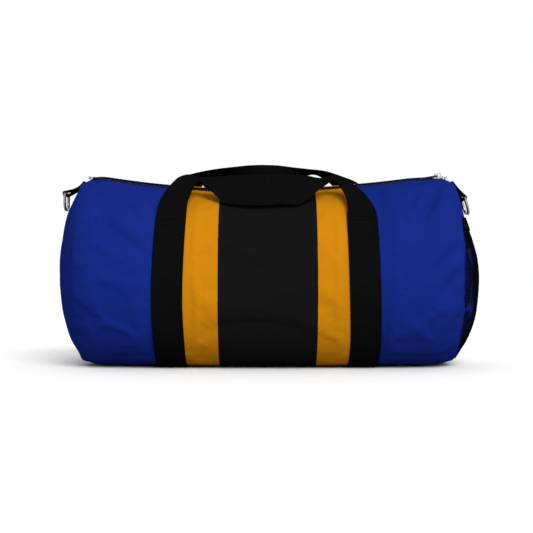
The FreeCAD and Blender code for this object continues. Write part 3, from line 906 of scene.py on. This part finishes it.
# %% Ring tabs
def ring_tab(side_name, side, bar, seam, sag):
    """Strap loop of 25 mm webbing from the seam, round the bar and back."""
    bar, seam = np.array(bar), np.array(seam)
    along = bar - seam
    reach = np.linalg.norm(along)
    along /= reach
    across = np.array([-along[1], along[0]]) * side
    half = 0.0010
    loop_round = 0.00305
    droop = np.array([0, -sag])
    points = [seam + across * half, seam + along * reach * 0.25 + across * half + droop,
              seam + along * reach * 0.55 + across * (half + 0.0003) + droop * 0.9]
    start = math.atan2(*(across[::-1]))
    turn = -side * math.pi
    for step in range(9):
        angle = start + turn * step / 8
        points.append(bar + loop_round * np.array([math.cos(angle), math.sin(angle)]))
    points += [seam + along * reach * 0.55 - across * (half + 0.0003) + droop * 0.9,
               seam + along * reach * 0.25 - across * half + droop, seam - across * half]
    path = smooth_path([(x, 0, z) for x, z in points], 0.0008)
    sides = np.tile([0, 1.0, 0], (len(path), 1))
    piece = mesh_piece(f"tab_strap_{side_name}",
                       *sweep(path, sides, webbing_profile(0.025, 0.0013, ribs=6)))
    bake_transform(piece)
    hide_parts(f"ring_tab_{side_name}")
    return piece


ring_tab("left", -1, (-0.2635, 0.2230), (-0.2385, 0.2380), 0.0028)
ring_tab("right", 1, (0.2558, 0.2175), (0.2395, 0.2385), 0.0)
print("ring tabs ready")

# %% [markdown]
# The end pocket is knitted netting: hexagonal holes between thin yarns. A hexagon lattice is laid
# out flat, bent onto the dome and turned into yarns, one thin tube along each edge, so that the
# holes are real and the blue cloth shows through them. An elastic band draws in its mouth.


# %% Mesh pocket
POCKET_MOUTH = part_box("pocket_elastic")[1][2]
ELASTIC_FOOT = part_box("pocket_mesh")[1][2]
HOLE = 3.6 * MM  # distance between neighbouring holes


def pocket_surface(y, z, stand):
    """Point of the pocket's skin over the right end panel."""
    radius = math.hypot(y, z - SEAM_HEIGHT)
    rise = dome_rise(min(radius, SEAM_ROUND), z)
    belly = 0.0016 * math.exp(-((z - 0.105) / 0.05) ** 2) * max(0.0, 1 - (radius / SEAM_ROUND) ** 2)
    wave = soft_noise(y, z, 0.3, 17, 71.0) * 0.0009
    return (HALF_LENGTH + rise + stand + belly + wave, y, float(seat(z)))


def netting():
    """Yarn network of the pocket."""
    side = HOLE / math.sqrt(3)
    points, index_of, edges = [], {}, set()
    rows = int(0.2 / (1.5 * side)) + 2
    columns = int(0.23 / HOLE) + 2

    def corner(y, z):
        key = (round(y / (0.02 * MM)), round(z / (0.02 * MM)))
        if key not in index_of:
            index_of[key] = len(points)
            points.append((y, z))
        return index_of[key]

    for row in range(rows):
        for column in range(-columns // 2, columns // 2 + 1):
            middle_y = (column + 0.5 * (row % 2)) * HOLE
            middle_z = 0.010 + row * 1.5 * side
            ring = []
            for k in range(6):
                angle = math.pi / 6 + k * math.pi / 3
                ring.append((middle_y + side * math.cos(angle), middle_z + side * math.sin(angle)))
            inside = all(math.hypot(y, z - SEAM_HEIGHT) < SEAM_ROUND - 0.001 for y, z in ring)
            if not inside or any(z > ELASTIC_FOOT + 0.002 for _, z in ring):
                continue
            corners = [corner(y, z) for y, z in ring]
            for a, b in zip(corners, corners[1:] + corners[:1]):
                edges.add((min(a, b), max(a, b)))
    return points, sorted(edges)


flat_points, yarns = netting()
skin = [pocket_surface(y, z, 0.0013) for y, z in flat_points]
yarn_parts = []
for a, b in yarns:
    start, end = np.array(skin[a]), np.array(skin[b])
    centres = np.stack([start, end])
    side = np.cross(end - start, [1.0, 0, 0])
    yarn_parts.append(sweep(centres, np.stack([side, side]), round_profile(0.42 * MM, 4), False))
net = gather("pocket_netting", yarn_parts)
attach(net, "bag")
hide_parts("pocket_mesh")
print("netting:", len(yarns), "yarns")

# %% [markdown]
# The elastic is gathered as it is sewn, so it wrinkles across its length when the pocket is at
# rest. It is a thin closed band whose outer face carries the wrinkles and four fine ribs.


# %% Elastic at the pocket's mouth
def elastic():
    """Ribbed elastic band across the dome, sewn into the seam at both ends."""
    rows, columns = 13, 170
    points, uvs = [], []
    for layer, stand in ((0, 0.0030), (1, 0.0012)):
        for row in range(rows):
            z = ELASTIC_FOOT - 0.001 + (POCKET_MOUTH - ELASTIC_FOOT) * row / (rows - 1)
            half = math.sqrt(max(SEAM_ROUND**2 - (z - SEAM_HEIGHT) ** 2, 0)) - 0.0006
            for column in range(columns):
                part = 2 * column / (columns - 1) - 1
                y = half * part
                gather_wave = 0.00045 * math.sin(part * 95) * (1 - (row / (rows - 1) - 0.5) ** 2 * 3)
                rib = 0.00018 * math.cos(row / (rows - 1) * 2 * math.pi * 4)
                lift = stand + (gather_wave + rib if layer == 0 else 0)
                points.append(pocket_surface(y, z, lift))
                uvs.append((y, z))
    faces = grid_faces(rows, columns)
    faces += [tuple(reversed(f)) for f in grid_faces(rows, columns, start=rows * columns)]
    size = rows * columns
    for column in range(columns - 1):
        for row in (0, rows - 1):
            a = row * columns + column
            b = a + 1
            faces.append((a, b, b + size, a + size) if row else (b, a, a + size, b + size))
    for row in range(rows - 1):
        for column in (0, columns - 1):
            a, b = row * columns + column, (row + 1) * columns + column
            faces.append((a, b, b + size, a + size) if column else (b, a, a + size, b + size))
    return mesh_piece("pocket_elastic_band", points, faces, uvs)


elastic_band = elastic()
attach(elastic_band, "bag")
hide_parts("pocket_elastic")
print("elastic ready")

# %% [markdown]
# Shader maths is written as ordinary Python expressions. A Wire wraps one socket: arithmetic on
# Wires adds Math nodes, and one method of the Finish class adds any other node.


# %% A small language for shaders
class Wire:
    """One socket of a shader tree, with arithmetic."""

    def __init__(self, finish, socket):
        self.finish = finish
        self.socket = socket

    def maths(self, operation, *others, flip=False):
        values = [self, *others]
        if flip:
            values.reverse()
        return self.finish.node("ShaderNodeMath", {"operation": operation}, dict(enumerate(values)))

    def __add__(self, other):
        return self.maths("ADD", other)

    __radd__ = __add__

    def __mul__(self, other):
        return self.maths("MULTIPLY", other)

    __rmul__ = __mul__

    def __sub__(self, other):
        return self.maths("SUBTRACT", other)

    def __rsub__(self, other):
        return self.maths("SUBTRACT", other, flip=True)

    def __abs__(self):
        return self.maths("ABSOLUTE")

    def sine(self):
        return self.maths("SINE")

    def above(self, level, soft):
        """0 below level, 1 above it, with a soft step."""
        return self.finish.node("ShaderNodeMapRange", {"interpolation_type": "SMOOTHSTEP"},
                                {"Value": self, "From Min": level - soft, "From Max": level + soft})


class Finish:
    """A material whose nodes are added one call at a time."""

    def __init__(self, name):
        self.material = bpy.data.materials.new(name)
        self.material.use_nodes = True
        self.tree = self.material.node_tree
        self.shader = self.tree.nodes["Principled BSDF"]

    def node(self, kind, settings=None, inputs=None, output=0):
        made = self.tree.nodes.new(kind)
        for key, value in (settings or {}).items():
            setattr(made, key, value)
        for key, value in (inputs or {}).items():
            if isinstance(value, Wire):
                self.tree.links.new(value.socket, made.inputs[key])
            else:
                made.inputs[key].default_value = value
        return Wire(self, made.outputs[output])

    def place(self, output="Object"):
        return self.node("ShaderNodeTexCoord", output=output)

    def split(self, vector):
        return [self.node("ShaderNodeSeparateXYZ", inputs={0: vector}, output=k) for k in range(3)]

    def noise(self, vector, scale, detail=2.0, roughness=0.5):
        return self.node("ShaderNodeTexNoise", {}, {"Vector": vector, "Scale": scale,
                                                    "Detail": detail, "Roughness": roughness})

    def blend(self, factor, first, second, mode="MIX"):
        """Mixes two colours; a colour is a triple or a Wire."""
        first, second = [v if isinstance(v, Wire) else (*v, 1) for v in (first, second)]
        return self.node("ShaderNodeMix", {"data_type": "RGBA", "blend_type": mode},
                         {0: factor, 6: first, 7: second}, output=2)

    def shaded(self, colour, shade):
        """A colour made darker or lighter by a number that changes over the surface."""
        grey = self.node("ShaderNodeCombineXYZ", {}, {0: shade, 1: shade, 2: shade})
        return self.blend(1.0, colour, grey, "MULTIPLY")

    def bump(self, height, distance, strength):
        return self.node("ShaderNodeBump", {}, {"Height": height, "Distance": distance,
                                                "Strength": strength})

    def finish(self, sockets, constants):
        for key, wire in sockets.items():
            self.tree.links.new(wire.socket, self.shader.inputs[key])
        for key, value in constants.items():
            self.shader.inputs[key].default_value = value
        return self.material


print("shader language ready")

# %% [markdown]
# Woven polyester is a plain weave: warp and weft cross over and under, so its height is a
# chequer of little pillows. The print is laid over it in bands across the bag's length, and the
# colour is a touch darker in the weave's valleys: painted shade.


# %% Cloth finishes
BLUE = (0.0036, 0.0098, 0.0940)
GOLD = (0.250, 0.0960, 0.0022)
INK = (0.0034, 0.0034, 0.0035)
BLACK_HALF = 0.0610  # the black print reaches this far either side of the middle
GOLD_HALF = 0.1150
INK_EDGE = 0.00035  # half the width over which one ink gives way to the next
YARN = 0.00062


def plain_weave(made, uv):
    """Height of a plain weave, 0 to 1, from a map in metres."""
    across, along, _ = made.split(uv)
    turn = math.pi / YARN
    return abs((across * turn).sine() * (along * turn).sine())


def cloth_finish(name, printed):
    made = Finish(name)
    uv = made.place("UV")
    spot = made.place("Object")
    weave = plain_weave(made, uv)
    slub = made.noise(uv, 900, 1)
    patch = made.noise(spot, 14, 3)
    colour = BLUE
    if printed:
        reach = abs(made.split(spot)[0]) + (made.noise(spot, 260, 1) - 0.5) * 0.0006
        outer = made.blend(reach.above(GOLD_HALF, INK_EDGE), GOLD, BLUE)
        colour = made.blend(reach.above(BLACK_HALF, INK_EDGE), INK, outer)
    # weave * 0.10 makes the colour darker in the weave's valleys: painted shade; patch and slub are the
    # cloth's own uneven tone.
    shade = 0.86 + patch * 0.20 + weave * 0.10 + (slub - 0.5) * 0.16
    normal = made.bump(weave * 0.6 + slub * 0.5, 0.00016, 0.55)
    rough = 0.62 + (made.noise(spot, 60, 2) - 0.5) * 0.14
    return made.finish({"Base Color": made.shaded(colour, shade), "Normal": normal, "Roughness": rough},
                       {"Specular IOR Level": 0.0, "Sheen Weight": 0.002, "Sheen Roughness": 0.5,
                        "Sheen Tint": (0.6, 0.7, 1.0, 1)})


printed_cloth = cloth_finish("printed_polyester", True)
blue_cloth = cloth_finish("blue_polyester", False)
print("printed and blue cloth ready")

# %% [markdown]
# Everything black on the bag is yarn too, so none of it is one flat colour. Small goods, such as
# thread and tape, take a fine twill in object space. The wide webbing has a map of its own, and
# shows the ribs that its thick weft makes across it. Black cloth drinks light: no gloss, no sheen.


# %% Webbing, tape and thread finishes
def dark_weave(name, colour, pitch, roughness=0.75, diagonal=True):
    """Black yarn goods: webbing, tape, elastic. A twill rib in object space."""
    made = Finish(name)
    spot = made.place("Object")
    x, y, z = made.split(spot)
    turn = 2 * math.pi / pitch
    around = y + z
    first = ((x + around) * turn).sine()
    second = ((x - around) * turn).sine() if diagonal else (around * turn).sine()
    rib = first * second * 0.5 + 0.5
    fuzz = made.noise(spot, 1400, 2)
    patch = made.noise(spot, 22, 2)
    shade = 0.55 + rib * 0.55 + (fuzz - 0.5) * 0.5 + (patch - 0.5) * 0.3
    base = made.shaded(colour, shade)
    normal = made.bump(rib * 0.8 + fuzz * 0.4, 0.00030, 0.6)
    rough = roughness + (patch - 0.5) * 0.1
    return made.finish({"Base Color": base, "Normal": normal, "Roughness": rough},
                       {"Specular IOR Level": 0.0})


def ribbed_webbing(name, colour, pitch):
    """Webbing with ribs across it, which the weft makes, and fine warp lines along it."""
    made = Finish(name)
    across, along, _ = made.split(made.place("UV"))
    weft = (along * (2 * math.pi / pitch)).sine() * 0.5 + 0.5
    warp = abs((across * (math.pi / (1.15 * pitch))).sine())
    fuzz = made.noise(made.place("Object"), 1400, 2)
    patch = made.noise(made.place("Object"), 22, 2)
    shade = 0.30 + weft * 0.85 + warp * 0.30 + (fuzz - 0.5) * 0.5 + (patch - 0.5) * 0.3
    base = made.shaded(colour, shade)
    normal = made.bump(weft * 0.8 + warp * 0.35 + fuzz * 0.3, 0.00035, 0.7)
    rough = 0.72 + (patch - 0.5) * 0.1
    return made.finish({"Base Color": base, "Normal": normal, "Roughness": rough},
                       {"Specular IOR Level": 0.0})


BLACK_TAPE = (0.0030, 0.0030, 0.0032)
BLACK_YARN = (0.0026, 0.0026, 0.0027)
webbing_finish = ribbed_webbing("black_webbing", (0.0022, 0.0022, 0.0023), 2.3 * MM)
tab_finish = dark_weave("tab_webbing", BLACK_TAPE, 2.2 * MM)
tape_finish = dark_weave("zip_tape", BLACK_TAPE, 1.2 * MM)
elastic_finish = dark_weave("pocket_elastic", BLACK_TAPE, 1.6 * MM, diagonal=False)
binding_finish = dark_weave("seam_binding", (0.0035, 0.0035, 0.0035), 1.8 * MM)
lining_finish = dark_weave("lining", (0.010, 0.010, 0.011), 0.9 * MM, roughness=0.5)
thread_finish = dark_weave("black_thread", BLACK_YARN, 0.5 * MM, roughness=0.6)
yarn_finish = dark_weave("net_yarn", BLACK_YARN, 0.7 * MM, roughness=0.6)
print("webbing, tape and thread finishes ready")

# %% [markdown]
# The rings, slider and stops are cast and nickel plated. Plating is never even: handling dulls it
# in a fine, cloudy way, so the roughness changes and the colour hardly does. The puller and the
# coil are not metal outside, so they get the same wear on a black, barely glossy base.


# %% Metal and moulded finishes
def metal_finish(name, colour, roughness, metallic=1.0):
    made = Finish(name)
    spot = made.place("Object")
    wear = made.noise(spot, 420, 4, 0.65)
    cloud = made.noise(spot, 90, 2)
    rough = roughness + (wear - 0.5) * 0.16 + (cloud - 0.5) * 0.06
    shade = 0.90 + cloud * 0.16
    base = made.shaded(colour, shade)
    normal = made.bump(wear, 0.00003, 0.5)
    return made.finish({"Base Color": base, "Roughness": rough, "Normal": normal},
                       {"Metallic": metallic, "Specular IOR Level": 0.5 if metallic else 0.10})


nickel = metal_finish("bright_nickel", (0.23, 0.22, 0.21), 0.30)
black_pull = metal_finish("black_pull", (0.004, 0.004, 0.0045), 0.42, metallic=0.0)
coil_finish = metal_finish("nylon_coil", (0.004, 0.004, 0.0045), 0.60, metallic=0.0)


def dress(target, material):
    """Gives a piece one finish."""
    target.data.materials.clear()
    target.data.materials.append(material)


DRESSED = {
    printed_cloth: [wrap],
    blue_cloth: [end_left, end_right],
    webbing_finish: straps,
    tape_finish: [tape_front, tape_back],
    coil_finish: [coil_front, coil_back],
    elastic_finish: [elastic_band],
    thread_finish: [stitching, tack_piece],
    yarn_finish: [net],
}
for material, targets in DRESSED.items():
    for target in targets:
        dress(target, material)
for target in bpy.context.scene.objects:
    if target.name.startswith("band_stitches"):
        dress(target, thread_finish)
    elif target.name.startswith("band_"):
        dress(target, webbing_finish)
    elif target.name.startswith("tab_strap"):
        dress(target, tab_finish)
NODE_FINISHES = {
    "zipper_slider": nickel, "zipper_top_stops": nickel, "zipper_bottom_stop": nickel,
    "d_ring_left": nickel, "d_ring_right": nickel, "zipper_pull": black_pull,
    "seam_binding_left": binding_finish, "seam_binding_right": binding_finish,
    "lining_wrap": lining_finish, "lining_end_left": lining_finish, "lining_end_right": lining_finish,
}
for node_name, material in NODE_FINISHES.items():
    held = frame["nodes"][node_name]
    for place in held.material_slots:
        place.material = material
for node_name in ("zipper_slider", "zipper_pull"):
    held = frame["nodes"][node_name]
    bevel = held.modifiers.new("eased edges", "BEVEL")
    bevel.width = 0.30 * MM
    bevel.segments = 3
    bevel.limit_method = "ANGLE"
print("finishes given to", len(NODE_FINISHES), "carried-over nodes")

# %% [markdown]
# The bag stands on a pale floor under soft light: a wide sun from above, in front and a little to
# the right, which rakes across the folds, a weak panel behind that catches the rim, and a white
# surround. A long lens from the front keeps the barrel's outline nearly square on.

# %% Floor, lights and camera
floor = mesh_piece("studio_floor", [(-6, -6, 0), (6, -6, 0), (6, 6, 0), (-6, 6, 0)], [(0, 1, 2, 3)],
                   smooth=False)
paper = Finish("studio_paper")
grain = paper.noise(paper.place("Object"), 40, 3)
paper_tone = paper.blend(grain, (0.54, 0.54, 0.54), (0.56, 0.56, 0.56))
dress(floor, paper.finish({"Base Color": paper_tone}, {"Roughness": 0.9, "Specular IOR Level": 0.1}))


def hang(name, kind, direction, place=(0, 0, 0), **settings):
    """A lamp that shines in that direction."""
    lamp = bpy.data.lights.new(name, kind)
    for key, value in settings.items():
        setattr(lamp, key, value)
    held = put(name, lamp)
    held.location = place
    held.rotation_euler = Vector(direction).to_track_quat("-Z", "Y").to_euler()


hang("rim_back", "AREA", (-0.2, -1.6, -1.05), (0.2, 1.6, 1.2),
     shape="RECTANGLE", size=1.8, size_y=0.8, energy=6)
hang("big_window", "SUN", (-0.26, 0.84, -0.56), energy=5.6, angle=math.radians(38))
world = bpy.data.worlds.new("bright_room")
world.use_nodes = True
surround = world.node_tree.nodes["Background"].inputs
surround["Color"].default_value = (1, 1, 1, 1)
surround["Strength"].default_value = 1.0
bpy.context.scene.world = world
bpy.context.scene.view_settings.view_transform = "Standard"

lens = bpy.data.cameras.new("camera")
lens.lens = 85
lens.sensor_width = 36
camera = put("camera", lens)
camera.location = (-0.0016, -1.65, 0.128)
camera.rotation_euler = (math.pi / 2, 0, 0)
bpy.context.scene.camera = camera
print("camera", tuple(round(v, 3) for v in camera.location))
